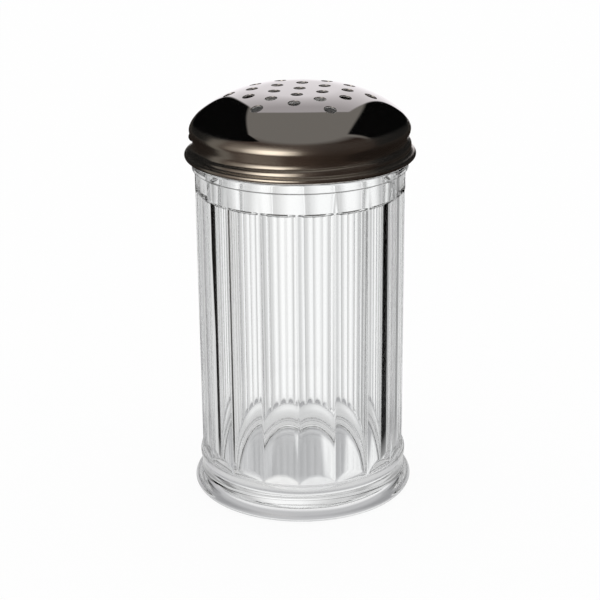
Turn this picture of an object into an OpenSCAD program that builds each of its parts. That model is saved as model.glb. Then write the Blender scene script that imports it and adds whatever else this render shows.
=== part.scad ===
/* [Jar body] */
// Radius over the sharp ridges between the flutes
jar_r = 36.4; // [33:0.1:40]
// Thickness of the wall behind the floor of a flute
wall = 2.15; // [1.6:0.05:3]
// Number of flutes round the jar
flutes = 18; // [16:1:24]
// Depth of a flute below the ridges, at its middle
flute_depth = 1.15; // [0.8:0.05:1.5]
// Length of the flutes
flute_len = 96.9; // [60:0.1:130]
// Width of the flat left on top of each ridge
ridge_land = 0.3; // [0.2:0.1:0.6]
// Angle that one ridge stands to the left of the front
ridge_turn = 2; // [0:1:10]
// Rise of the sloped end at the top of a flute
flute_top_slope = 1.2; // [0.6:0.1:3]
// Rise of the sloped end at the bottom of a flute
flute_foot_slope = 2.1; // [1:0.1:4]
// Height of the plain collar above the flutes
collar_h = 7.1; // [4:0.1:12]

/* [Jar foot] */
// Height of the base below the flutes
base_h = 13.3; // [12.5:0.1:16]
// How far the foot ring stands out past the ridges
foot_out = 2.8; // [1.5:0.1:5]
// Radius of the foot ring's rounded edge
foot_bead_r = 1.9; // [1.2:0.1:2.2]
// Width of the foot ring, from its outside to the recess under the base
foot_w = 5; // [4.2:0.1:9]
// Height of the crease between the foot ring and the base band
foot_crease_z = 6; // [5:0.1:6.5]
// How far the waist of the base band stands out past the ridges
waist_out = 0.35; // [0.2:0.05:0.6]
// How far the crest of the base band stands out past its waist
crest_out = 0.35; // [0.25:0.01:0.42]
// Depth of the recess under the base
recess_depth = 2.6; // [1.5:0.1:4]
// Thickness of the floor
floor_h = 4.1; // [3:0.1:7]
// Radius of the fillet between the floor and the wall inside
floor_fillet = 6; // [1:0.5:10]

/* [Jar neck] */
// How far the flange stands out past the ridges
flange_out = 0.9; // [0.4:0.1:1.5]
// Thickness of the flange
flange_h = 3; // [1.5:0.1:5]
// How far the neck is set back from the ridges
neck_in = 0.4; // [0.2:0.05:0.8]
// Height of the neck's rim above the widest place of the lid
rim_rise = 0.9; // [0.3:0.1:1.2]

/* [Lid] */
// Thickness of the sheet
sheet = 0.5; // [0.4:0.05:0.6]
// Clearance between the neck and the waist of the lid
neck_gap = 0.3; // [0.25:0.01:0.35]
// Height of the skirt, from the middle of the rolled rim to the widest place of the lid
skirt_h = 8.5; // [8.2:0.1:10]
// How far the edge of the dome stands out past the waist of the skirt
edge_out = 1.12; // [1.05:0.01:1.3]
// Radius of the curve where the dome turns down into the skirt
roll_curve = 3; // [2.8:0.1:3.2]
// Angle above the horizontal at which that curve begins
roll_start = 24.7; // [20:0.1:30]
// Radius of the curve at the edge of the dome
edge_curve = 10.9; // [9:0.1:13]
// Slope of the dome where its shoulder meets its edge
shoulder_slope = 39.4; // [36:0.1:42]
// Radius of the curve of the shoulder
shoulder_curve = 36.7; // [32:0.1:40]
// Slope of the dome where its almost flat crown meets the shoulder
crown_slope = 1.3; // [0.8:0.1:3]
// Radius of the rolled rim's section
hem_roll = 1; // [0.9:0.05:1.1]
// How far the rolled rim stands out past the waist of the skirt
hem_out = 2.95; // [2.8:0.05:3.2]
// Gap between the flange of the jar and the rolled rim
hem_gap = 0.8; // [0.5:0.05:1.5]
// Radius of the hollow curve above the rolled rim
flare_curve = 3.3; // [3:0.1:3.6]

/* [Holes] */
// Diameter of a hole
hole_d = 4.1; // [2:0.1:4.8]
// Distance between neighbouring holes
hole_pitch = 9.4; // [8:0.1:9.9]
// Distance of the six outer holes from the middle
outer_hole_r = 24.2; // [23.5:0.1:26]
// Angle that the pattern is turned to the left at the front
hole_turn = 5.7; // [0:0.1:30]

/* [Screw thread] */
// Rise of the thread in one turn
pitch = 5.1; // [4.8:0.1:5.4]
// Height of the neck's thread
thread_h = 1.4; // [1.2:0.05:1.5]
// Half width of the neck's thread at its root
thread_root = 1.1; // [0.9:0.05:1.2]
// Half width of the neck's thread at its crest
thread_crest = 0.3; // [0.25:0.05:0.35]
// Half width of the thread that is rolled into the lid
bead_half = 1.75; // [1.7:0.05:1.9]
// Clearance between the neck's thread and the lid's
thread_gap = 0.3; // [0.25:0.01:0.35]
// Depth of the thread's centre line below the rim of the neck, on the right hand side
thread_drop = 1.3; // [1.2:0.05:1.6]

/* [Seal ring] */
// How far the inside of the seal ring is set back from the inside of the jar
seal_back = 0.7; // [0.3:0.1:1.2]
// Clearance between the seal ring and the widest place inside the lid
seal_side = 0.8; // [0.6:0.05:1.2]
// Clearance between the seal ring and the dome
seal_gap = 0.3; // [0.25:0.05:0.5]
// Width of the slope on the seal ring's upper edge
seal_slope = 1; // [0.6:0.1:1.4]

/* [Hidden] */
$fn = 96;
clear_color = [0.86, 0.89, 0.90, 0.45];
seal_color = [0.93, 0.93, 0.90];
steel_color = [0.62, 0.60, 0.58];
arc_step = 7.5;

// Small forms of the jar
ledge = 0.2;
crest_drop = 1.5;
waist_rise = 2.2;
recess_round = 1.2;
recess_slope = 0.9;
flange_round = 0.4;
rim_round = 0.5;
band_curve = 14;

// Radii and heights of the jar
flute_floor = jar_r - flute_depth;
bore_r = flute_floor - wall;
foot_r = jar_r + foot_out;
recess_r = foot_r - foot_w;
waist_r = jar_r + waist_out;
flange_r = jar_r + flange_out;
neck_r = jar_r - neck_in;
floor_z = recess_depth + floor_h;
flute_foot_z = base_h + ledge;
flute_top_z = flute_foot_z + flute_len;
flange_z = flute_top_z + collar_h;
flange_top_z = flange_z + flange_h;

// A flute is the arc through two ridges and its own floor
flute_step = 360 / flutes;
flute_half = flute_step / 2 - asin(ridge_land / 2 / jar_r);
flute_sag = jar_r * cos(flute_half) - flute_floor;
flute_curve = (pow(jar_r * sin(flute_half), 2) + pow(flute_sag, 2)) / (2 * flute_sag);

// The base band is a hollow curve round its waist, then a crest tangent to it
crest_rise = base_h - crest_drop - foot_crease_z - waist_rise;
crest_curve = (pow(crest_rise, 2) + pow(crest_out, 2)) / (2 * crest_out) - band_curve;
crest_turn = asin(crest_rise / (band_curve + crest_curve));
band_c = [waist_r + band_curve, foot_crease_z + waist_rise];
crest_c = [waist_r + crest_out - crest_curve, base_h - crest_drop];

// The skirt's waist clears the neck, and its roll and rolled rim stand out from it
lid_waist_r = neck_r + neck_gap + sheet;
hem_c = [lid_waist_r + hem_out - hem_roll, flange_top_z + hem_gap + hem_roll];
roll_c = [lid_waist_r + edge_out - roll_curve, hem_c[1] + skirt_h];
rim_z = roll_c[1] + rim_rise;

// The flare is tangent to the rolled rim, and the skirt between the roll and the flare to both
flare_x = lid_waist_r + flare_curve;
flare_c = [flare_x, hem_c[1] + sqrt(pow(flare_curve + hem_roll, 2) - pow(flare_x - hem_c[0], 2))];
flare_end = atan2(flare_c[1] - hem_c[1], flare_c[0] - hem_c[0]);
skirt_run = flare_c - roll_c;
skirt_lean = -atan2(skirt_run[1], skirt_run[0]) - acos((roll_curve + flare_curve) / norm(skirt_run));

// Each arc of the dome is tangent to the next
edge_c = roll_c - (edge_curve - roll_curve) * [cos(roll_start), sin(roll_start)];
shoulder_c = edge_c - (shoulder_curve - edge_curve) * [sin(shoulder_slope), cos(shoulder_slope)];
crown_r = shoulder_c[0] + shoulder_curve * sin(crown_slope);
dome_top_z = shoulder_c[1] + shoulder_curve * cos(crown_slope) + crown_r * tan(crown_slope / 2);

// The thread climbs by its pitch in each turn and passes thread_z on the right hand side
thread_z = rim_z - thread_drop;
function thread_height(a) = thread_z + pitch * a / 360;
neck_thread = [-495, -135];
lid_bead = [-525, -105];
lid_groove = [-660, -120];
taper_deg = 30;
taper_end = 0.15;
root_sink = 0.4;
mouth_gap = 0.45;
thread_r = neck_r + thread_h;
groove_floor = thread_r + thread_gap;
groove_mouth = lid_waist_r - sheet - root_sink;
lid_thread_r = groove_floor + sheet;
bead_foot = lid_waist_r - sheet / 2;
bead_turn = 36;

// Points along an arc round c, from one angle to another
function arc(c, r, from, to) =
    let (steps = ceil(abs(to - from) / arc_step))
    [for (i = [0 : steps]) let (a = from + (to - from) * i / steps) c + r * [cos(a), sin(a)]];

// A closed section [radius, height] swept along the thread, thinned at both ends
module helix(section, span) {
    steps = round((span[1] - span[0]) / arc_step);
    n = len(section);
    foot = section[0][0];
    points = [
        for (i = [0 : steps])
        let (a = span[0] + (span[1] - span[0]) * i / steps)
        let (rise = max(taper_end, min(1, (a - span[0]) / taper_deg, (span[1] - a) / taper_deg)))
        for (p = section)
        let (r = foot + (p[0] - foot) * rise)
        [r * cos(a), r * sin(a), thread_height(a) + p[1]]
    ];
    sides = [
        for (i = [0 : steps - 1], j = [0 : n - 1])
        let (k = (j + 1) % n)
        each [
            [i * n + j, (i + 1) * n + k, (i + 1) * n + j],
            [i * n + j, i * n + k, (i + 1) * n + k]
        ]
    ];
    first = [for (j = [1 : n - 2]) [0, j + 1, j]];
    last = [for (j = [1 : n - 2]) steps * n * [1, 1, 1] + [0, j, j + 1]];
    polyhedron(points = points, faces = concat(sides, first, last), convexity = 8);
}

// Half section of the jar without its flutes
module jar_section() {
    bead_c = [foot_r - foot_bead_r, foot_bead_r];
    crease_turn = asin(waist_rise / band_curve);
    crease = band_c - band_curve * [cos(crease_turn), sin(crease_turn)];
    slope = crease - bead_c;
    bead_end = atan2(slope[1], slope[0]) - acos(foot_bead_r / norm(slope));
    recess_c = [recess_r - recess_round, recess_depth - recess_round];
    polygon(concat(
        // recess and foot ring
        [[0, recess_depth]],
        arc(recess_c, recess_round, 90, 0),
        [[recess_r + recess_slope, 0]],
        arc(bead_c, foot_bead_r, -90, bead_end),
        // base band
        arc(band_c, band_curve, 180 + crease_turn, 180 - crest_turn),
        arc(crest_c, crest_curve, arc_step - crest_turn, asin(crest_drop / crest_curve)),
        // body and collar
        [[jar_r, base_h], [jar_r, flange_z]],
        arc([flange_r - flange_round, flange_z + flange_round], flange_round, -90, 0),
        arc([flange_r - flange_round, flange_top_z - flange_round], flange_round, 0, 90),
        // neck and inside
        [[neck_r, flange_top_z]],
        arc([neck_r - rim_round, rim_z - rim_round], rim_round, 0, 90),
        arc([bore_r + rim_round, rim_z - rim_round], rim_round, 90, 180),
        arc([bore_r - floor_fillet, floor_z + floor_fillet], floor_fillet, 0, -90),
        [[0, floor_z]]
    ));
}

// The zone that the flutes cut, closed by a sloped end at the top and the bottom
module flute_zone() {
    out = 1.5;
    over = 0.1;
    deep = flute_depth + 0.5;
    foot_rate = flute_foot_slope / flute_depth;
    top_rate = flute_top_slope / flute_depth;
    rotate_extrude() polygon([
        [jar_r + out, flute_foot_z - over * foot_rate],
        [jar_r + out, flute_top_z + over * top_rate],
        [jar_r + over, flute_top_z + over * top_rate],
        [jar_r - deep, flute_top_z - deep * top_rate],
        [jar_r - deep, flute_foot_z + deep * foot_rate],
        [jar_r + over, flute_foot_z - over * foot_rate]
    ]);
}

module jar() {
    color(clear_color) {
        difference() {
            rotate_extrude() jar_section();
            intersection() {
                flute_zone();
                for (i = [0 : flutes - 1])
                    rotate([0, 0, -90 - ridge_turn + flute_step * (i + 0.5)])
                        translate([flute_floor + flute_curve, 0, 0])
                            cylinder(r = flute_curve, h = flange_z);
            }
        }
        helix([
            [neck_r - root_sink, -thread_root],
            [thread_r, -thread_crest],
            [thread_r, thread_crest],
            [neck_r - root_sink, thread_root]
        ], neck_thread);
    }
}

// The seal ring's upper edge follows the underside of the dome
module seal_ring() {
    under = edge_curve - sheet - seal_gap;
    out_r = lid_waist_r + edge_out - sheet - seal_side;
    from = acos((out_r - edge_c[0]) / under);
    to = acos((out_r - seal_slope - edge_c[0]) / under);
    color(seal_color) rotate_extrude() polygon(concat(
        [[bore_r + seal_back, rim_z], [out_r, rim_z]],
        arc(edge_c, under, from, to),
        [[bore_r + seal_back, edge_c[1] + under * sin(to)]]
    ));
}

// One face of the sheet from the top of the dome to the flare, drawn in by the given depth
function sheet_face(depth, end) = concat(
    [[0, dome_top_z - depth]],
    arc(shoulder_c, shoulder_curve - depth, 90 - crown_slope, 90 - shoulder_slope),
    arc(edge_c, edge_curve - depth, 90 - shoulder_slope - arc_step, roll_start + arc_step),
    arc(roll_c, roll_curve - depth, roll_start, -skirt_lean),
    arc(flare_c, flare_curve + depth, 180 - skirt_lean, end)
);

// Half section of the lid as if it were solid
module lid_outside() {
    polygon(concat(
        sheet_face(0, 180 + flare_end),
        arc(hem_c, hem_roll, flare_end - arc_step, -90),
        [[0, hem_c[1] - hem_roll]]
    ));
}

// Half section of the space in the lid, down past its rolled rim
module lid_inside() {
    reach = flare_curve + hem_roll;
    inner = flare_curve + sheet;
    hem_side = acos((pow(reach, 2) + pow(hem_roll, 2) - pow(inner, 2)) / (2 * reach * hem_roll));
    flare_side = acos((pow(reach, 2) + pow(inner, 2) - pow(hem_roll, 2)) / (2 * reach * inner));
    below = hem_c[1] - 2 * hem_roll;
    polygon(concat(
        sheet_face(sheet, 180 + flare_end - flare_side),
        arc(hem_c, hem_roll, flare_end + hem_side + arc_step, 270),
        [[hem_c[0], below], [0, below]]
    ));
}

// A hexagonal lattice, and one hole more beyond each of its flat sides
module hole_positions() {
    rows = 2;
    for (i = [-rows : rows], j = [-rows : rows])
        if (abs(i + j) <= rows)
            translate([hole_pitch * sqrt(3) / 2 * i, hole_pitch * (j + i / 2), 0]) children();
    for (k = [0 : 5])
        rotate([0, 0, 60 * k]) translate([outer_hole_r, 0, 0]) children();
}

module lid() {
    bead_rise = (lid_thread_r - bead_foot) / cos(bead_turn / 2);
    color(steel_color) difference() {
        union() {
            rotate_extrude() lid_outside();
            helix(
                [for (t = [-90 : bead_turn : 90]) [bead_foot + bead_rise * cos(t), bead_half * sin(t)]],
                lid_bead
            );
        }
        rotate_extrude() lid_inside();
        helix([
            [groove_mouth, -thread_root - mouth_gap],
            [groove_floor, -thread_crest - thread_gap],
            [groove_floor, thread_crest + thread_gap],
            [groove_mouth, thread_root + mouth_gap]
        ], lid_groove);
        rotate([0, 0, -hole_turn]) hole_positions()
            translate([0, 0, roll_c[1]]) cylinder(d = hole_d, h = dome_top_z, $fn = 48);
    }
}

jar();
seal_ring();
lid();
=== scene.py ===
import math

import bpy
from mathutils import Matrix, Vector


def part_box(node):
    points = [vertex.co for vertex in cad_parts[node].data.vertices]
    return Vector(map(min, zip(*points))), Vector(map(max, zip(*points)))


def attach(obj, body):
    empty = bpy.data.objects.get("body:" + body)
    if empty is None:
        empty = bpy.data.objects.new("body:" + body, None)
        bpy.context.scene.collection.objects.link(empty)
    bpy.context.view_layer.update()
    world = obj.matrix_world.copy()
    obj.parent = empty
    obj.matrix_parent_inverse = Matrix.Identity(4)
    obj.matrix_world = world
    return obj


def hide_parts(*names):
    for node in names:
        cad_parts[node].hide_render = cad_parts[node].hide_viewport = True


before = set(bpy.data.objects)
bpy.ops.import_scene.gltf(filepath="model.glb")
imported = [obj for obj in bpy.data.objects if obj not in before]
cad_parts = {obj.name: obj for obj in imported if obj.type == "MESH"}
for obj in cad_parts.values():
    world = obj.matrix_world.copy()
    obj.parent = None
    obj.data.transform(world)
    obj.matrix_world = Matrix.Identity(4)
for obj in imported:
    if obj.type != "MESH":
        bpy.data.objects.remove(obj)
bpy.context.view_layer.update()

MM = 0.001
TURN = 2 * math.pi
DEGREES = 180 / math.pi

# The camera of the photograph, for a frame of 600 by 600, in metres and radians. The lens and its
# sensor are in millimetres.
CAMERA_BACK = 0.5374
CAMERA_UP = 0.2609
CAMERA_DIP = math.radians(19.73)
CAMERA_YAW = 0.00096
CAMERA_ROLL = -0.0093
CAMERA_LENS = 96.6
CAMERA_SENSOR = 36
CAMERA_CLIP = 0.01

# Light crosses many faces of glass on its way
BOUNCES = 32
GLOSSY_BOUNCES = 24
GLASS_BOUNCES = 24

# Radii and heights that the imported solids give, in millimetres
_, jar_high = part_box("jar")
lid_low, lid_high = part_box("lid")
FOOT_R = jar_high.x / MM
RIM_Z = jar_high.z / MM
HEM_R = lid_high.x / MM
HEM_BOTTOM = lid_low.z / MM

# The jar, in millimetres
JAR_R = 36.4
BORE_R = 33.1
FLOOR_Z = 6.7
FLOOR_FILLET = 6.0

# Its foot ring and base band
RECESS_R = 34.2
RECESS_Z = 2.6
RECESS_ROUND = 1.2
FOOT_IN_R = 35.1
FOOT_OUT_R = 36.2
FOOT_ROUND = 0.5
FOOT_BEAD_R = 1.9
BAND_R = 36.75
BAND_Z = 8.2
BAND_CURVE = 14.0
BAND_C = (BAND_R + BAND_CURVE, BAND_Z)
CREASE_DROP = 2.2  # from the band's narrowest height down to the crease over the foot
CREASE_SOFT = (0.25, -0.12)  # from the crease to a point that softens it
CREST_CURVE = 4.69
CREST_C = (32.41, 11.8)
CREST_RISE = 3.6
CREST_DROP = 1.5
CREST_STEP = 4
LEDGE_LOW = 12.6
LEDGE_Z = 13.3
LEDGE_ROUND = 0.18
LEDGE_FILLET = 0.1

# Its flutes: rows are heights of the lathe's points, columns are angles from a ridge
FLUTES = 18
FLUTE_STEP = 360 / FLUTES
FLUTE_DEPTH = 1.5
RIDGE_LAND = 0.3
RIDGE_SOFT = 0.16
FIRST_RIDGE = -92.0
FLUTE_FOOT = 13.5
FLUTE_LEN = 97.1
FLUTE_TOP = FLUTE_FOOT + FLUTE_LEN
FLUTE_FOOT_SLOPE = 2.1
FLUTE_TOP_SLOPE = 0.8
FLUTE_END_ROWS = (0.06, 0.3, 0.6, 1.0, 1.6)
FLUTE_MIDDLE_ROWS = (25.0, 62.0, 99.0)
SLOPE_SHORT = 0.25  # how much short of the flute's floor an end's second row lies
SLOPE_LEAST = 0.3  # the least depth that this is measured against
RIDGE_COLUMNS = (0.0, 0.2, 0.4, 0.65, 0.95, 1.4, 3.0, 5.25, 7.5)

# Its collar, flange and neck
COLLAR_FILLET = 0.35
FLANGE_R = 37.3
FLANGE_Z = 117.5
FLANGE_TOP = 120.5
FLANGE_ROUND = 0.4
NECK_R = 36.0
NECK_FOOT = 122.0
NECK_ROWS = 26
NECK_ROWS_LOW = 122.4
NECK_ROWS_HIGH = RIM_Z - 0.9
RIM_ROUND = 0.5

# The lid, in millimetres
SHEET = 0.5
WAIST_R = 36.8
EDGE_OUT = 1.12
SKIRT_H = 8.5
ROLL_CURVE = 3.0
ROLL_START = 24.7
EDGE_CURVE = 10.9
SHOULDER_SLOPE = 39.4
SHOULDER_CURVE = 36.7
CROWN_SLOPE = 1.3
HEM_ROLL = 1.0
HEM_END = -190
FLARE_CURVE = 3.3
LID_COLUMNS = 288

# Its holes, in the flat disc that is pressed to the dome's curve
DISC_R = 28.0
HOLE_R = 2.05
HOLE_PITCH = 9.4
OUTER_HOLES = 6
OUTER_HOLE_R = 24.2
HOLE_TURN = 5.7
HOLE_POINTS = 32
HOLE_RINGS = (3.3, 2.75, 2.4, 2.22, HOLE_R)
DISC_EDGE = 2.2

# The screw thread: heights in millimetres, spans in degrees
PITCH = 5.1
THREAD_DROP = 1.3
THREAD_Z = RIM_Z - THREAD_DROP
THREAD_TAPER = 30
NECK_THREAD = (-495, -135)
NECK_THREAD_R = 37.4
NECK_THREAD_HALF = 1.1
NECK_THREAD_FOOT = 1.4  # in half widths
LID_BEAD = (-525, -105)
LID_BEAD_R = 38.2
LID_BEAD_HALF = 1.75
LID_BEAD_SOFT = 0.45

# The liner, in millimetres
SEAL_BACK = 0.7
SEAL_GAP = 0.3
SEAL_SLOPE = 1
SEAL_COLUMNS = 144

# The height under which the lid is satin, and how soft that edge is, in metres
SATIN = (0.1338, 0.0010)

# How near counts as on a face or on the axis, in millimetres
NEAR = 0.01

# How near points are welded together, in metres
LATHE_WELD = 0.002 * MM
LID_WELD = 0.01 * MM

# The angle over which an edge stays sharp, in degrees
JAR_SHARP = 40
LID_SHARP = 60
SEAL_SHARP = 40


def polar(centre, radius, degrees):
    """The point at an angle on a circle."""
    a = math.radians(degrees)
    return (centre[0] + radius * math.cos(a), centre[1] + radius * math.sin(a))


def arc(centre, radius, start, end, step):
    """Points along an arc, both ends among them."""
    count = max(1, math.ceil(abs(end - start) / step))
    return [polar(centre, radius, start + (end - start) * i / count) for i in range(count + 1)]


# The lid's section: each arc is tangent to the next
HEM_C = (HEM_R - HEM_ROLL, HEM_BOTTOM + HEM_ROLL)
ROLL_C = (WAIST_R + EDGE_OUT - ROLL_CURVE, HEM_C[1] + SKIRT_H)
EDGE_C = polar(ROLL_C, EDGE_CURVE - ROLL_CURVE, 180 + ROLL_START)
SHOULDER_C = polar(EDGE_C, SHOULDER_CURVE - EDGE_CURVE, 270 - SHOULDER_SLOPE)
CROWN_R = SHOULDER_C[0] + SHOULDER_CURVE * math.sin(math.radians(CROWN_SLOPE))
CROWN_CURVE = CROWN_R / math.sin(math.radians(CROWN_SLOPE))
CROWN_C = (0.0, SHOULDER_C[1] + SHOULDER_CURVE * math.cos(math.radians(CROWN_SLOPE))
           - CROWN_CURVE * math.cos(math.radians(CROWN_SLOPE)))
FLARE_X = WAIST_R + FLARE_CURVE
FLARE_C = (FLARE_X,
           HEM_C[1] + math.sqrt((FLARE_CURVE + HEM_ROLL) ** 2 - (FLARE_X - HEM_C[0]) ** 2))
FLARE_END = math.degrees(math.atan2(FLARE_C[1] - HEM_C[1], FLARE_C[0] - HEM_C[0]))
SKIRT_RUN = (FLARE_C[0] - ROLL_C[0], FLARE_C[1] - ROLL_C[1])
SKIRT_LEAN = (-math.degrees(math.atan2(SKIRT_RUN[1], SKIRT_RUN[0]))
              - math.degrees(math.acos((ROLL_CURVE + FLARE_CURVE) / math.hypot(*SKIRT_RUN))))


def dome_arc(r):
    """The centre and the radius of the dome's arc at a distance from the axis."""
    if r <= CROWN_R:
        return CROWN_C, CROWN_CURVE
    if r <= polar(SHOULDER_C, SHOULDER_CURVE, 90 - SHOULDER_SLOPE)[0]:
        return SHOULDER_C, SHOULDER_CURVE
    if r <= polar(ROLL_C, ROLL_CURVE, ROLL_START)[0]:
        return EDGE_C, EDGE_CURVE
    return ROLL_C, ROLL_CURVE


def dome_height(r):
    """The height of the dome's outer face at a distance from the axis."""
    centre, curve = dome_arc(r)
    return centre[1] + math.sqrt(max(0.0, curve ** 2 - (r - centre[0]) ** 2))


def thread_height(degrees):
    """The height of the thread's centre line at an angle round the axis."""
    return THREAD_Z + PITCH * degrees / 360


def thread_share(degrees, z, half, span):
    """How far a point lies from the thread's centre line, in half widths, and how full the
    thread is there, from 0 beyond its ends to 1."""
    nearest = (math.inf, 0.0)
    for turn in range(-2, 1):
        a = degrees + 360 * turn
        fullness = min((a - span[0]) / THREAD_TAPER, (span[1] - a) / THREAD_TAPER, 1.0)
        away = abs(z - thread_height(a)) / half
        if fullness > 0 and away < nearest[0]:
            nearest = (away, math.sin(fullness * TURN / 4) if fullness < 1 else 1.0)
    return nearest


def soft_max(a, b, soft):
    """The larger of two lengths, with their crossing rounded."""
    near = max(0.0, soft - abs(a - b)) / soft
    return max(a, b) + near * near * soft / 4


def finish_with(piece, *materials):
    """Gives a piece its materials."""
    piece.data.materials.clear()
    for material in materials:
        piece.data.materials.append(material)


def start_clean():
    """Leaves edit mode and selects nothing, so that an operator acts only on the new mesh."""
    if bpy.context.object and bpy.context.object.mode != "OBJECT":
        bpy.ops.object.mode_set(mode="OBJECT")
    bpy.ops.object.select_all(action="DESELECT")


def shade_smooth(piece, degrees):
    """Shades a piece smooth, apart from edges sharper than an angle."""
    start_clean()
    piece.select_set(True)
    bpy.context.view_layer.objects.active = piece
    bpy.ops.object.shade_smooth_by_angle(angle=math.radians(degrees))


def apply_modifier(piece, kind, **settings):
    """Adds a modifier to a piece and applies it."""
    modifier = piece.modifiers.new(kind.lower(), kind)
    for key, value in settings.items():
        setattr(modifier, key, value)
    bpy.context.view_layer.objects.active = piece
    bpy.ops.object.modifier_apply(modifier=modifier.name)


def lathe(name, chain, columns, closed=False):
    """Spins a chain of (radius, height) points, in millimetres, round the axis."""
    start_clean()
    bpy.ops.mesh.primitive_circle_add(vertices=len(chain), radius=1, fill_type="NOTHING")
    piece = bpy.context.object
    piece.name = name
    for vertex, (r, z) in zip(piece.data.vertices, chain):
        vertex.co = (r * MM, 0, z * MM)
    last = len(chain) - 1
    bpy.ops.object.mode_set(mode="EDIT")
    if not closed:
        bpy.ops.mesh.select_mode(type="EDGE")
        bpy.ops.mesh.select_all(action="DESELECT")
        bpy.ops.object.mode_set(mode="OBJECT")
        for edge in piece.data.edges:
            edge.select = set(edge.vertices) == {0, last}
        bpy.ops.object.mode_set(mode="EDIT")
        bpy.ops.mesh.delete(type="EDGE_FACE")
        bpy.ops.mesh.select_mode(type="VERT")
    bpy.ops.mesh.select_all(action="SELECT")
    bpy.ops.mesh.spin(steps=columns, angle=TURN, center=(0, 0, 0), axis=(0, 0, 1))
    bpy.ops.mesh.select_all(action="SELECT")
    bpy.ops.mesh.remove_doubles(threshold=LATHE_WELD)
    bpy.ops.mesh.normals_make_consistent(inside=False)
    bpy.ops.object.mode_set(mode="OBJECT")
    return piece


def rounded(corners, step=22.5, guard=0.25):
    """Points of a section whose corners, given as (radius, height, rounding), are arcs.
    Where there is room, a guard point stands before and after each arc."""
    points = []
    for i, (r, z, rounding) in enumerate(corners):
        if rounding == 0:
            points.append((r, z))
            continue
        here = Vector((r, z))
        back = Vector(corners[i - 1][:2]) - here
        ahead = Vector(corners[(i + 1) % len(corners)][:2]) - here
        half = back.angle(ahead) / 2
        leg = rounding / math.tan(half)
        inwards = (back.normalized() + ahead.normalized()).normalized()
        centre = here + inwards * (rounding / math.sin(half))
        first = here + back.normalized() * leg
        last = here + ahead.normalized() * leg
        from_angle = math.degrees(math.atan2(first.y - centre.y, first.x - centre.x))
        sweep = math.degrees(math.atan2(last.y - centre.y, last.x - centre.x)) - from_angle
        sweep = (sweep + 180) % 360 - 180
        if back.length > leg + 2 * guard:
            points.append(tuple(first + back.normalized() * guard))
        points += arc(centre, rounding, from_angle, from_angle + sweep, step)
        if ahead.length > leg + 2 * guard:
            points.append(tuple(last + ahead.normalized() * guard))
    return points


def foot_chain():
    """The jar's section from the middle of its recess, round its foot, to the first flute row."""
    bead_c = (FOOT_R - FOOT_BEAD_R, FOOT_BEAD_R)
    crease_turn = math.degrees(math.asin(CREASE_DROP / BAND_CURVE))
    crease = polar(BAND_C, BAND_CURVE, 180 + crease_turn)
    slope = (crease[0] - bead_c[0], crease[1] - bead_c[1])
    bead_end = (math.degrees(math.atan2(slope[1], slope[0]))
                - math.degrees(math.acos(FOOT_BEAD_R / math.hypot(*slope))))
    crest_turn = math.degrees(math.asin(CREST_RISE / (BAND_CURVE + CREST_CURVE)))
    crest_end = math.degrees(math.asin(CREST_DROP / CREST_CURVE))
    ledge_r = polar(CREST_C, CREST_CURVE, crest_end)[0]
    chain = rounded([
        (0, RECESS_Z, 0),
        (RECESS_R, RECESS_Z, RECESS_ROUND),
        (FOOT_IN_R, 0, FOOT_ROUND),
        (FOOT_OUT_R, 0, 0),
    ])
    chain += arc(bead_c, FOOT_BEAD_R, -90, bead_end, step=9)
    chain += [(crease[0] + CREASE_SOFT[0], crease[1] + CREASE_SOFT[1])]
    chain += arc(BAND_C, BAND_CURVE, 180 + crease_turn, 180 - crest_turn, step=2.2)
    chain += arc(CREST_C, CREST_CURVE, CREST_STEP - crest_turn, crest_end - CREST_STEP, CREST_STEP)
    chain += rounded([
        (ledge_r, LEDGE_LOW, 0),
        (ledge_r, LEDGE_Z, LEDGE_ROUND),
        (JAR_R, LEDGE_Z, LEDGE_FILLET),
        (JAR_R, FLUTE_FOOT, 0),
    ], guard=0.06)[1:]
    return chain


def jar_chain():
    """Half section of the jar, from the middle of its recess round to the middle of its floor."""
    chain = foot_chain()
    chain += [(JAR_R, FLUTE_FOOT + k) for k in FLUTE_END_ROWS]
    chain += [(JAR_R, z) for z in FLUTE_MIDDLE_ROWS]
    chain += [(JAR_R, FLUTE_TOP - k) for k in reversed(FLUTE_END_ROWS)]
    chain += rounded([
        (JAR_R, FLUTE_TOP, 0),
        (JAR_R, FLANGE_Z, COLLAR_FILLET),
        (FLANGE_R, FLANGE_Z, FLANGE_ROUND),
        (FLANGE_R, FLANGE_TOP, FLANGE_ROUND),
        (NECK_R, FLANGE_TOP, FLANGE_ROUND),
        (NECK_R, NECK_FOOT, 0),
    ])
    run = NECK_ROWS_HIGH - NECK_ROWS_LOW
    chain += [(NECK_R, NECK_ROWS_LOW + run * i / NECK_ROWS) for i in range(NECK_ROWS + 1)]
    inside = rounded([
        (NECK_R, NECK_FOOT, 0),
        (NECK_R, RIM_Z, RIM_ROUND),
        (BORE_R, RIM_Z, RIM_ROUND),
        (BORE_R, FLOOR_Z, FLOOR_FILLET),
        (0, FLOOR_Z, 0),
    ], step=10)
    return chain + inside[2:]


def flute_depth_at(offset):
    """Depth below the ridges at an angle from the middle of a flute, with the ridges rounded."""
    half = FLUTE_STEP / 2 - math.degrees(math.asin(RIDGE_LAND / 2 / JAR_R))
    floor_r = JAR_R - FLUTE_DEPTH
    sag = JAR_R * math.cos(math.radians(half)) - floor_r
    curve = ((JAR_R * math.sin(math.radians(half))) ** 2 + sag ** 2) / (2 * sag)
    middle = floor_r + curve
    a = math.radians(offset)
    flute_r = middle * math.cos(a) - math.sqrt(curve ** 2 - (middle * math.sin(a)) ** 2)
    return soft_max(JAR_R - flute_r, 0.0, RIDGE_SOFT)


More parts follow.
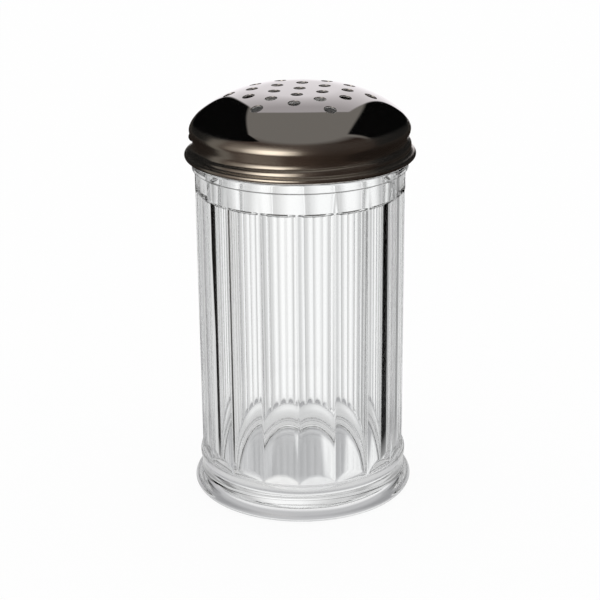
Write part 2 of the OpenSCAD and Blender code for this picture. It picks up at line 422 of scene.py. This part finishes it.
def fluted(z, depth):
    """Where a point on the outside goes, between the sloped ends of a flute."""
    if z < FLUTE_MIDDLE_ROWS[0] - 1:
        into = z - FLUTE_FOOT
        edge, sign, rate = FLUTE_FOOT, 1, FLUTE_FOOT_SLOPE / FLUTE_DEPTH
    elif z > FLUTE_MIDDLE_ROWS[-1] + 1:
        into = FLUTE_TOP - z
        edge, sign, rate = FLUTE_TOP, -1, FLUTE_TOP_SLOPE / FLUTE_DEPTH
    else:
        return JAR_R - depth, z
    # The slope runs between an end's first two rows, and the other rows lie on the flute's floor
    first, second, third = FLUTE_END_ROWS[:3]
    if into < (first + second) / 2:
        share = first
    elif into < (second + third) / 2:
        share = max(0.0, 1 - SLOPE_SHORT / max(depth, SLOPE_LEAST))
    else:
        share = 1.0
    return JAR_R - depth * share, edge + sign * (into + depth * share * rate)


def thread_crown(away):
    """Height of a rounded thread across its width, from 1 at its middle to 0 at its foot."""
    if away >= NECK_THREAD_FOOT:
        return 0.0
    return 0.5 + 0.5 * math.cos(math.pi * away / NECK_THREAD_FOOT)


def make_jar():
    """The jar: one lathe turned closed form, then its flutes and its thread pressed in."""
    middle = FLUTE_STEP / 2
    flute = [*RIDGE_COLUMNS, middle, *[FLUTE_STEP - a for a in reversed(RIDGE_COLUMNS[1:])]]
    columns = len(flute) * FLUTES
    piece = lathe("jar_glass", jar_chain(), columns)
    for vertex in piece.data.vertices:
        x, y, z = vertex.co / MM
        r = math.hypot(x, y)
        if r < NEAR:
            continue
        index = round(math.degrees(math.atan2(y, x)) / 360 * columns) % columns
        offset = flute[index % len(flute)]
        degrees = FIRST_RIDGE + FLUTE_STEP * (index // len(flute)) + offset
        if r > JAR_R - NEAR and FLUTE_FOOT < z < FLUTE_TOP:
            r, z = fluted(z, flute_depth_at(offset - middle))
        elif z > FLANGE_TOP + 1 and r > NECK_R - NEAR:
            turned = (degrees + 180) % 360 - 180 - 360
            away, fullness = thread_share(turned, z, NECK_THREAD_HALF, NECK_THREAD)
            r += (NECK_THREAD_R - NECK_R) * fullness * thread_crown(away)
        a = math.radians(degrees)
        vertex.co = (r * math.cos(a) * MM, r * math.sin(a) * MM, z * MM)
    shade_smooth(piece, JAR_SHARP)
    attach(piece, "jar")
    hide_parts("jar")
    return piece


def hole_centres():
    """A hexagonal lattice, and one hole more beyond each of its flat sides."""
    centres = []
    for i in range(-2, 3):
        for j in range(-2, 3):
            if abs(i + j) <= 2:
                centres.append((HOLE_PITCH * math.sqrt(3) / 2 * i, HOLE_PITCH * (j + i / 2)))
    for k in range(OUTER_HOLES):
        centres.append(polar((0, 0), OUTER_HOLE_R, 360 / OUTER_HOLES * k))
    turn = Matrix.Rotation(math.radians(-HOLE_TURN), 2)
    return [tuple(turn @ Vector(c)) for c in centres]


def nearest_hole(point, centres):
    """The nearest hole's centre, in metres, and the distance to it."""
    best = min(centres, key=lambda c: (point.x / MM - c[0]) ** 2 + (point.y / MM - c[1]) ** 2)
    centre = (best[0] * MM, best[1] * MM)
    return centre, math.hypot(point.x - centre[0], point.y - centre[1])


def near_ring(centres, radius):
    """A test for edges that lie on a hole's ring of that radius, in millimetres."""
    slack = 0.004 * MM

    def on_ring(a, b):
        here, far_a = nearest_hole(a, centres)
        there, far_b = nearest_hole(b, centres)
        off_a = abs(far_a - radius * MM)
        off_b = abs(far_b - radius * MM)
        return here == there and off_a < slack and off_b < slack
    return on_ring


def select_edges(piece, wanted):
    """In edit mode, selects the edges whose two ends pass a test."""
    bpy.ops.mesh.select_mode(type="EDGE")
    bpy.ops.mesh.select_all(action="DESELECT")
    bpy.ops.object.mode_set(mode="OBJECT")
    vertices = piece.data.vertices
    for edge in piece.data.edges:
        edge.select = wanted(vertices[edge.vertices[0]].co, vertices[edge.vertices[1]].co)
    bpy.ops.object.mode_set(mode="EDIT")


def filled_disc():
    """A flat disc in edit mode, filled with small triangles up to the widest ring of each hole."""
    start_clean()
    bpy.ops.mesh.primitive_circle_add(
        vertices=LID_COLUMNS, radius=DISC_R * MM, fill_type="NOTHING")
    disc = bpy.context.object
    disc.name = "lid_steel"
    for x, y in hole_centres():
        bpy.ops.mesh.primitive_circle_add(
            vertices=HOLE_POINTS, radius=HOLE_RINGS[0] * MM, fill_type="NOTHING",
            location=(x * MM, y * MM, 0))
        bpy.context.object.select_set(True)
        disc.select_set(True)
        bpy.context.view_layer.objects.active = disc
        bpy.ops.object.join()
    for index, vertex in enumerate(disc.data.vertices[:LID_COLUMNS]):
        a = TURN * index / LID_COLUMNS
        vertex.co = (DISC_R * MM * math.cos(a), DISC_R * MM * math.sin(a), 0)
    bpy.ops.object.mode_set(mode="EDIT")
    bpy.ops.mesh.select_mode(type="EDGE")
    bpy.ops.mesh.select_all(action="SELECT")
    bpy.ops.mesh.fill(use_beauty=True)
    for _ in range(2):
        select_edges(disc, lambda a, b: (a - b).length > DISC_EDGE * MM)
        bpy.ops.mesh.subdivide(number_cuts=1)
        bpy.ops.mesh.select_all(action="SELECT")
        bpy.ops.mesh.quads_convert_to_tris(quad_method="BEAUTY", ngon_method="BEAUTY")
        bpy.ops.mesh.beautify_fill(angle_limit=math.pi)
    return disc


def make_disc():
    """The perforated middle of the dome: rings run in to each hole, and all is then curved."""
    centres = hole_centres()
    disc = filled_disc()
    for outer, inner in zip(HOLE_RINGS, HOLE_RINGS[1:]):
        select_edges(disc, near_ring(centres, outer))
        bpy.ops.mesh.extrude_edges_move()
        bpy.ops.object.mode_set(mode="OBJECT")
        for vertex in disc.data.vertices:
            if vertex.select:
                centre, away = nearest_hole(vertex.co, centres)
                scale = inner * MM / away
                vertex.co = (centre[0] + (vertex.co.x - centre[0]) * scale,
                             centre[1] + (vertex.co.y - centre[1]) * scale, 0)
        bpy.ops.object.mode_set(mode="EDIT")
    bpy.ops.object.mode_set(mode="OBJECT")
    for vertex in disc.data.vertices:
        vertex.co.z = dome_height(math.hypot(vertex.co.x, vertex.co.y) / MM) * MM
    return disc


def skirt_chain():
    """Half section of the lid's outer face, from the perforated disc to the rolled rim's end."""
    disc_angle = math.degrees(math.acos((DISC_R - SHOULDER_C[0]) / SHOULDER_CURVE))
    chain = arc(SHOULDER_C, SHOULDER_CURVE, disc_angle, 90 - SHOULDER_SLOPE, step=1.2)
    chain += arc(EDGE_C, EDGE_CURVE, 90 - SHOULDER_SLOPE, ROLL_START, step=2.4)[1:]
    chain += arc(ROLL_C, ROLL_CURVE, ROLL_START, -SKIRT_LEAN, step=4)[1:]
    top = polar(ROLL_C, ROLL_CURVE, -SKIRT_LEAN)
    foot = polar(FLARE_C, FLARE_CURVE, 180 - SKIRT_LEAN)
    rows = 10
    chain += [(top[0] + (foot[0] - top[0]) * i / rows,
               top[1] + (foot[1] - top[1]) * i / rows) for i in range(1, rows)]
    chain += arc(FLARE_C, FLARE_CURVE, 180 - SKIRT_LEAN, 180 + FLARE_END, step=4)
    chain += arc(HEM_C, HEM_ROLL, FLARE_END, HEM_END, step=12)[1:]
    return chain


def roll_bead(piece):
    """Presses the rolled thread outwards in the skirt."""
    foot = WAIST_R - SHEET / 2
    inmost = WAIST_R - 0.2
    lowest = HEM_C[1] + 0.9
    highest = ROLL_C[1] + 1.5
    for vertex in piece.data.vertices:
        x, y, z = vertex.co / MM
        r = math.hypot(x, y)
        if r < inmost or z > highest or z < lowest:
            continue
        degrees = math.degrees(math.atan2(y, x)) - 360
        away, fullness = thread_share(degrees, z, LID_BEAD_HALF, LID_BEAD)
        rise = (LID_BEAD_R - foot) * math.sqrt(max(0.0, 1 - away * away)) * fullness
        wider = soft_max(r, foot + rise, LID_BEAD_SOFT)
        vertex.co.x *= wider / r
        vertex.co.y *= wider / r


def make_lid():
    """The lid: a perforated disc and a lathe turned skirt, joined as one sheet and thickened."""
    skirt = lathe("skirt", skirt_chain(), LID_COLUMNS)
    roll_bead(skirt)
    disc = make_disc()
    start_clean()
    skirt.select_set(True)
    disc.select_set(True)
    bpy.context.view_layer.objects.active = disc
    bpy.ops.object.join()
    bpy.ops.object.mode_set(mode="EDIT")
    bpy.ops.mesh.select_mode(type="VERT")
    bpy.ops.mesh.select_all(action="SELECT")
    bpy.ops.mesh.remove_doubles(threshold=LID_WELD)
    bpy.ops.mesh.normals_make_consistent(inside=False)
    bpy.ops.object.mode_set(mode="OBJECT")
    if sum(face.normal.z * face.area for face in disc.data.polygons) < 0:
        disc.data.flip_normals()
    finish_with(disc, polished_steel(), dull_steel())
    apply_modifier(disc, "SOLIDIFY", thickness=SHEET * MM, offset=-1,
                   use_even_offset=True, material_offset=1)
    apply_modifier(disc, "BEVEL", width=0.1 * MM, segments=2, limit_method="ANGLE",
                   angle_limit=math.radians(LID_SHARP), use_clamp_overlap=False)
    shade_smooth(disc, LID_SHARP)
    true_dome_normals(disc)
    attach(disc, "lid")
    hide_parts("lid")
    return disc


def true_dome_normals(piece):
    """Gives the dome's outer face the normals of its true arcs, so that its mirror is even."""
    mesh = piece.data
    lowest = ROLL_C[1] + 1.2
    least_upward = 0.2
    slack = 0.02
    normals = []
    for face in mesh.polygons:
        for index in face.vertices:
            co = mesh.vertices[index].co / MM
            r = math.hypot(co.x, co.y)
            centre, curve = dome_arc(r)
            off_arc = abs(math.hypot(r - centre[0], co.z - centre[1]) - curve)
            on_dome = co.z > lowest and face.normal.z > least_upward and off_arc < slack
            if not on_dome or face_leans(face, centre, co, r):
                normals.append((0, 0, 0))
                continue
            out = Vector(((r - centre[0]) / curve, (co.z - centre[1]) / curve))
            side = (co.x / r, co.y / r) if r > NEAR else (0, 0)
            normals.append((out.x * side[0], out.x * side[1], out.y))
    mesh.normals_split_custom_set(normals)


def face_leans(face, centre, co, r):
    """Whether a face turns away from the dome, as the rounded rim of a hole does."""
    most = math.radians(14)
    spread = (r - centre[0]) / max(r, NEAR)
    out = Vector((spread * co.x, spread * co.y, co.z - centre[1]))
    return out.angle(face.normal) > most


def make_seal():
    """The soft ring between the rim of the neck and the dome."""
    low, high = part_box("seal_ring")
    in_r = BORE_R + SEAL_BACK
    out_r = high.x / MM
    bottom = low.z / MM
    top = high.z / MM
    under_dome = EDGE_CURVE - SHEET - SEAL_GAP
    side_top = EDGE_C[1] + math.sqrt(under_dome ** 2 - (out_r - EDGE_C[0]) ** 2)
    chain = rounded([
        (in_r, bottom, 0.25),
        (out_r, bottom, 0.2),
        (out_r, side_top, 0.2),
        (out_r - SEAL_SLOPE, top, 0.4),
        (in_r, top, 0.25),
    ], guard=0.1)
    piece = lathe("seal_soft", chain, SEAL_COLUMNS, closed=True)
    shade_smooth(piece, SEAL_SHARP)
    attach(piece, "liner")
    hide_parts("seal_ring")
    return piece


class Value:
    """A number or a colour in a shader, so that its maths reads as plain arithmetic."""

    def __init__(self, shader, socket):
        self.shader = shader
        self.socket = socket

    def math(self, operation, first, second):
        return self.shader.math(operation, first, second)

    def __add__(self, other):
        return self.math("ADD", self, other)

    __radd__ = __add__

    def __sub__(self, other):
        return self.math("SUBTRACT", self, other)

    def __rsub__(self, other):
        return self.math("SUBTRACT", other, self)

    def __mul__(self, other):
        return self.math("MULTIPLY", self, other)

    __rmul__ = __mul__

    def __truediv__(self, other):
        return self.math("DIVIDE", self, other)

    def larger(self, other):
        return self.math("MAXIMUM", self, other)

    def clamped(self):
        return self.math("MAXIMUM", self.math("MINIMUM", self, 1.0), 0.0)

    def above(self, level, soft):
        """0 below a level and 1 above it, with a soft step between."""
        return ((self - level) / soft + 0.5).clamped()

    def below(self, level, soft):
        """1 below a level and 0 above it."""
        return 1 - self.above(level, soft)

    def between(self, low, high, soft):
        """1 between two levels, with soft ends."""
        return self.above(low, soft) * self.below(high, soft)


class Shader:
    """The nodes of one material or world."""

    def __init__(self, owner):
        owner.use_nodes = True
        self.tree = owner.node_tree
        self.tree.nodes.clear()

    def node(self, kind, sockets=None, **settings):
        node = self.tree.nodes.new("ShaderNode" + kind)
        for key, setting in settings.items():
            setattr(node, key, setting)
        for key, value in (sockets or {}).items():
            if isinstance(value, Value):
                self.tree.links.new(value.socket, node.inputs[key])
            else:
                node.inputs[key].default_value = value
        return node

    def value(self, kind, sockets=None, output=0, **settings):
        return Value(self, self.node(kind, sockets, **settings).outputs[output])

    def math(self, operation, first, second=0.0):
        return self.value("Math", {0: first, 1: second}, operation=operation)

    def split(self, vector):
        parts = self.node("SeparateXYZ", {0: vector})
        return [Value(self, parts.outputs[i]) for i in range(3)]

    def mix(self, share, first, second):
        """A blend of two colours, by the colour sockets of a mix node."""
        return self.value("Mix", {0: share, 6: first, 7: second}, output=2, data_type="RGBA")

    def noise(self, place, scale, detail):
        return self.value(
            "TexNoise", {"Vector": place, "Scale": scale, "Detail": detail}, output="Fac")

    def surface(self, shading):
        self.node("OutputMaterial", {"Surface": shading})


def clear_glass():
    """Pressed glass: clear, smooth outside, and a little uneven in its thickness."""
    material = bpy.data.materials.new("pressed_glass")
    s = Shader(material)
    waves = s.noise(s.value("TexCoord", output="Object"), scale=45.0, detail=1.0)
    bump = s.value("Bump", {"Strength": 0.04, "Distance": 0.0004, "Height": waves}, output="Normal")
    s.surface(s.value("BsdfPrincipled", {
        "Base Color": (0.985, 0.99, 0.99, 1),
        "Roughness": 0.0,
        "IOR": 1.5,
        "Transmission Weight": 1.0,
        "Normal": bump,
    }))
    return material


def polished_steel():
    """Stainless sheet: a mirror dome, and a skirt left satin from the rolling of its thread."""
    material = bpy.data.materials.new("stainless_sheet")
    s = Shader(material)
    place = s.value("TexCoord", output="Object")
    height = s.split(place)[2]
    satin = height.below(*SATIN)
    smears = s.noise(place, scale=60.0, detail=3.0)
    s.surface(s.value("BsdfPrincipled", {
        "Base Color": s.mix(satin, (0.74, 0.715, 0.70, 1), (0.66, 0.61, 0.55, 1)),
        "Metallic": 1.0,
        "Roughness": 0.025 + satin * 0.18 + smears * 0.03,
    }))
    return material


def dull_steel():
    """The inside of the lid, as it comes from the rolling mill."""
    material = bpy.data.materials.new("stainless_inside")
    s = Shader(material)
    stains = s.noise(s.value("TexCoord", output="Object"), scale=90.0, detail=3.0)
    s.surface(s.value("BsdfPrincipled", {
        "Base Color": s.mix(stains, (0.16, 0.13, 0.11, 1), (0.24, 0.20, 0.17, 1)),
        "Metallic": 1.0,
        "Roughness": 0.55 + stains * 0.12,
    }))
    return material


def soft_white():
    """Soft moulded plastic."""
    material = bpy.data.materials.new("soft_liner")
    s = Shader(material)
    grain = s.noise(s.value("TexCoord", output="Object"), scale=900.0, detail=2.0)
    bump = s.value("Bump", {"Strength": 0.2, "Distance": 0.0001, "Height": grain}, output="Normal")
    s.surface(s.value("BsdfPrincipled", {
        "Base Color": s.mix(grain, (0.80, 0.80, 0.76, 1), (0.86, 0.86, 0.83, 1)),
        "Roughness": 0.5 + grain * 0.1,
        "Normal": bump,
    }))
    return material


def grey(level, blue=0.0):
    """A grey colour, with a little more blue in it where wanted."""
    return (level, level, level + blue, 1)


class Direction:
    """A direction in the studio: x to the right, y away from the photograph's camera, z up, and
    its angles in degrees, round from straight behind, round from straight in front, and upwards."""

    def __init__(self, s):
        self.x, self.y, self.z = s.split(s.value("TexCoord", output="Generated"))
        self.turn = s.math("ARCTAN2", self.x, self.y) * DEGREES
        self.from_front = s.math("ARCTAN2", self.x * -1, self.y * -1) * DEGREES
        self.rise = s.math("ARCSINE", self.z) * DEGREES

    def along(self, weights):
        return self.x * weights[0] + self.y * weights[1] + self.z * weights[2]


def studio_world():
    """The studio: plain white to the camera and on matt faces, and patterned by direction where
    it shows in mirrors and through glass."""
    world = bpy.data.worlds.new("studio")
    bpy.context.scene.world = world
    s = Shader(world)
    direction = Direction(s)
    rays = s.node("LightPath")
    mirrored = mirrored_studio(s, direction)
    refracted = refracted_studio(direction)
    refracted = s.value("CombineColor", {0: refracted, 1: refracted, 2: refracted})
    seen = s.mix(Value(s, rays.outputs["Is Glossy Ray"]), grey(1), mirrored)
    seen = s.mix(Value(s, rays.outputs["Is Transmission Ray"]), seen, refracted)
    light = s.value("Background", {"Color": seen, "Strength": 1.0})
    s.node("OutputWorld", {"Surface": light})


# What mirrors show. A band is (from, to, softness) and a limit is (level, softness), in degrees
# for turn and rise. The edges of the screen and the flags are slanted: a weighted sum of x, y
# and z is held against a limit.
DIM_TURN = (60, 165, 30)
CEILING_RISE = (58, 14)
WINDOW_TURN = (10, 50, 24)
WINDOW_RISE = (-18, 33, 18)
SPILL_TURN = (50, 80, 14)
SPILL_SHARE = 0.12
TABLE_TURN = (25, 75, 16)
TABLE_RISE = (-56, -36, 8)
TABLE_SHARE = 0.07
BEHIND = (0.0, 0.1)
SCREEN_FADE = (0.35, 0.7)
SCREEN_LEFT = (1, 0, 0.12)
SCREEN_LEFT_LIMIT = (-0.168, 0.015)
SCREEN_RIGHT = (1, 0, -0.06)
SCREEN_RIGHT_LIMIT = (0.25, 0.015)
SCREEN_BEND = -0.8
SCREEN_TOP = (0.56, 0.02)
SCREEN_FOOT = (0.3, 0.2)
SCREEN_FOOT_BEHIND = (0.1, 0.2)
LEFT_FLAG = (0.865, -0.117, 0.489)
LEFT_FLAG_LIMIT = (0.0, 0.02)
LEFT_FLAG_RIGHT = (30, 4)
LEFT_FLAG_SLANT = 1.35
LEFT_FLAG_SLANT_LIMIT = (-42, 4)
LEFT_FLAG_LEFT = (-72, 6)
RIGHT_FLAG = (0.418, -0.026, -0.203)
RIGHT_FLAG_LIMIT = (0.0, 0.012)
RIGHT_FLAG_END = (0.064, 0.585, -0.165)
RIGHT_FLAG_END_LIMIT = (-0.04, 0.04)
HORIZON = (-0.03, 0.06)


def mirrored_studio(s, d):
    """What reflections show: a brown room, a grey ceiling, a window in front on the left, a white
    screen behind, and a dark flag on each side of it."""
    room_tone = (0.060, 0.042, 0.034, 1)
    dim_tone = (0.032, 0.022, 0.017, 1)
    ceiling_tone = (0.185, 0.175, 0.160, 1)
    window_tone = (1.8, 1.68, 1.5, 1)
    screen_tone = (1.02, 0.99, 1.02, 1)
    screen_top_tone = (0.42, 0.40, 0.41, 1)
    flag_tone = grey(0.002)
    flag_foot_tone = (0.014, 0.010, 0.008, 1)

    colour = s.mix(d.turn.between(*DIM_TURN), room_tone, dim_tone)
    colour = s.mix(d.rise.above(*CEILING_RISE), colour, ceiling_tone)
    window = d.from_front.between(*WINDOW_TURN) + d.from_front.between(*SPILL_TURN) * SPILL_SHARE
    colour = s.mix(window.clamped() * d.rise.between(*WINDOW_RISE), colour, window_tone)
    table = d.from_front.between(*TABLE_TURN) * d.rise.between(*TABLE_RISE)
    colour = s.mix(table * TABLE_SHARE, colour, window_tone)

    behind = d.y.above(*BEHIND)
    colour = s.mix(behind, colour, ceiling_tone)
    right_of_left = d.along(SCREEN_LEFT).above(*SCREEN_LEFT_LIMIT)
    left_of_right = d.along(SCREEN_RIGHT).below(*SCREEN_RIGHT_LIMIT)
    screen = (d.x * d.x * SCREEN_BEND + d.y).above(*SCREEN_TOP)
    screen = screen + d.z.below(*SCREEN_FOOT) * d.y.above(*SCREEN_FOOT_BEHIND)
    screen = right_of_left * left_of_right * behind * screen.clamped()
    screen_tone = s.mix(d.z.above(*SCREEN_FADE), screen_tone, screen_top_tone)
    colour = s.mix(screen, colour, screen_tone)

    left = (1 - right_of_left) * d.along(LEFT_FLAG).below(*LEFT_FLAG_LIMIT)
    left = left * d.turn.below(*LEFT_FLAG_RIGHT)
    slanted = (d.turn + d.rise * LEFT_FLAG_SLANT).above(*LEFT_FLAG_SLANT_LIMIT)
    left = left * slanted.larger(d.turn.above(*LEFT_FLAG_LEFT))
    right = (1 - left_of_right) * d.along(RIGHT_FLAG).above(*RIGHT_FLAG_LIMIT)
    right = right * d.along(RIGHT_FLAG_END).above(*RIGHT_FLAG_END_LIMIT)
    flags = left.larger(right)
    colour = s.mix(flags * d.z.below(*HORIZON), colour, flag_foot_tone)
    return s.mix(flags * d.z.above(*HORIZON), colour, flag_tone)


# What glass shows: a plain level of brightness, and bands of direction that change it. Bands and
# limits are as for mirrors: in degrees, and in parts of a direction where a name ends in Y.
GLASS_LEVEL = 0.72
GLASS_TURN_BANDS = (
    ((-6, 19, 14), 0.34),
    ((-46, -34, 8), 0.08),
    ((-31, -22, 6), -0.18),
    ((33, 44, 5), -0.42),
    ((20, 31, 6), -0.1),
)
GLASS_HORIZON = (-11, 2, 3)
GLASS_HORIZON_Y = (0.5, 0.2)
GLASS_HORIZON_DROP = 0.66
GLASS_TABLE = (-40, -29, 6)
GLASS_TABLE_DROP = 0.12
GLASS_LOW = (-44, 6)
GLASS_LOW_DROP = 0.12
GLASS_HIGH = (10, 12)
GLASS_HIGH_DROP = 0.08
GLASS_FRONT_Y = (0.0, 0.3)
GLASS_FRONT_DROP = 0.2
GLASS_FLAG_RIGHT = (48, 84, 3)
GLASS_FLAG_LEFT = (-78, 2)
GLASS_FLAG_LEFT_END = (-61, 3)
GLASS_FLAG_RISE = (-46, 10, 6)
GLASS_FLAG_HIGH = (10, 6)
GLASS_FLAG_HIGH_SHARE = 0.5
GLASS_SLANT_FROM = 21
GLASS_SLANT_OVER = 3
GLASS_SLANT = 12


def refracted_studio(d):
    """The brightness that shows through the glass, with a dark flag on each side."""
    level = GLASS_LEVEL
    for band, change in GLASS_TURN_BANDS:
        level = d.turn.between(*band) * change + level
    horizon = d.rise.between(*GLASS_HORIZON) * d.y.above(*GLASS_HORIZON_Y)
    level = level - horizon * GLASS_HORIZON_DROP
    level = level - d.rise.between(*GLASS_TABLE) * GLASS_TABLE_DROP
    level = level - d.rise.below(*GLASS_LOW) * GLASS_LOW_DROP
    overhead = GLASS_HIGH_DROP + d.y.below(*GLASS_FRONT_Y) * GLASS_FRONT_DROP
    level = level - d.rise.above(*GLASS_HIGH) * overhead
    slant = ((d.rise + GLASS_SLANT_FROM) / GLASS_SLANT_OVER).clamped() * GLASS_SLANT
    left = d.turn.above(*GLASS_FLAG_LEFT) * (d.turn - slant).below(*GLASS_FLAG_LEFT_END)
    right = d.turn.between(*GLASS_FLAG_RIGHT)
    full = d.rise.between(*GLASS_FLAG_RISE)
    thin = d.rise.above(*GLASS_FLAG_HIGH) * GLASS_FLAG_HIGH_SHARE
    return level * (1 - left.larger(right) * (full + thin))


# The floor, and a disc of it that glass and mirrors show, glowing with painted shade and painted
# light, in metres. Bands and limits are as for mirrors; x is to the right, y away from the
# photograph's camera, and rings are by radius.
FLOOR_SIZE = 6
FLOOR_GLOW = 0.93
NEAR_FLOOR_R = 0.08
NEAR_FLOOR_FADE = (0.06, 0.036)
# Painted shade: a dark patch under the jar's middle, and darker rings under and around its foot.
# Painted light: a band to its right (RIGHT_X) and one in front (FRONT_Y)
PAINTED_SHADE_X = (-0.018, 0.011, 0.006)
PAINTED_SHADE_Y = (-0.009, 0.006)
RIGHT_X = (0.013, 0.006)
FRONT_Y = (-0.030, -0.017, 0.004)
RECESS_SHADE_RING = (0.0315, 0.002)
FOOT_SHADE_RING = (0.0340, 0.0355, 0.001)
OUTER_SHADE_RING = (0.0365, 0.002)


def glowing(s, share, under, tone):
    """A surface that shines with a tone by a share, over another."""
    glow = s.value("Emission", {"Color": tone, "Strength": 1.0})
    s.surface(s.value("MixShader", {0: share, 1: under, 2: glow}))


def make_floor():
    """A pale floor that keeps the shadow of the object."""
    start_clean()
    bpy.ops.mesh.primitive_plane_add(size=FLOOR_SIZE, location=(0, 0, 0))
    floor = bpy.context.object
    floor.name = "floor"
    floor.visible_glossy = False
    floor.visible_transmission = False
    material = bpy.data.materials.new("pale_floor")
    s = Shader(material)
    camera = Value(s, s.node("LightPath").outputs["Is Camera Ray"])
    paint = s.value("BsdfDiffuse", {"Color": grey(0.9)})
    glowing(s, camera * FLOOR_GLOW, paint, grey(1))
    finish_with(floor, material)
    return floor


def make_painted_floor():
    """The floor as it shows in glass and mirrors: a glowing disc of painted shade under and around
    the jar, and painted light beside it.
    """
    start_clean()
    bpy.ops.mesh.primitive_circle_add(
        vertices=96, radius=NEAR_FLOOR_R, fill_type="NGON", location=(0, 0, 0))
    painted_floor = bpy.context.object
    painted_floor.name = "painted_floor"
    painted_floor.visible_camera = False
    painted_floor.visible_diffuse = False
    painted_floor.visible_shadow = False
    material = bpy.data.materials.new("painted_shade_floor")
    s = Shader(material)
    x, y, _ = s.split(s.value("TexCoord", output="Object"))
    away = s.math("POWER", x * x + y * y, 0.5)
    # Painted shade and painted light: darker greys under the jar's middle and foot stand for its
    # shadow, and lighter greys to the right and in front stand for light
    tone = grey(0.62, blue=0.01)
    for share, next_tone in (
        (x.between(*PAINTED_SHADE_X) * y.above(*PAINTED_SHADE_Y), grey(0.43, blue=0.01)),
        (x.above(*RIGHT_X), grey(0.97)),
        (y.between(*FRONT_Y), grey(0.88)),
        (away.above(*RECESS_SHADE_RING), grey(0.52, blue=0.01)),
        (away.between(*FOOT_SHADE_RING), grey(0.34, blue=0.01)),
        (away.above(*OUTER_SHADE_RING), grey(0.68)),
    ):
        tone = s.mix(share, tone, next_tone)
    glowing(s, away.below(*NEAR_FLOOR_FADE), s.value("BsdfTransparent"), tone)
    finish_with(painted_floor, material)
    return painted_floor


def set_camera():
    """The camera where the photograph was taken from."""
    camera = bpy.data.objects.new("camera", bpy.data.cameras.new("camera"))
    bpy.context.scene.collection.objects.link(camera)
    camera.data.lens = CAMERA_LENS
    camera.data.sensor_width = CAMERA_SENSOR
    camera.data.clip_start = CAMERA_CLIP
    camera.matrix_world = (
        Matrix.Translation((0, -CAMERA_BACK, CAMERA_UP))
        @ Matrix.Rotation(CAMERA_YAW, 4, "Z")
        @ Matrix.Rotation(math.pi / 2 - CAMERA_DIP, 4, "X")
        @ Matrix.Rotation(CAMERA_ROLL, 4, "Z")
    )
    bpy.context.scene.camera = camera


set_camera()
studio_world()
make_floor()
make_painted_floor()
finish_with(make_jar(), clear_glass())
make_lid()
finish_with(make_seal(), soft_white())
bpy.context.scene.view_settings.view_transform = "Standard"
bpy.context.scene.cycles.max_bounces = BOUNCES
bpy.context.scene.cycles.glossy_bounces = GLOSSY_BOUNCES
bpy.context.scene.cycles.transmission_bounces = GLASS_BOUNCES

start_clean()
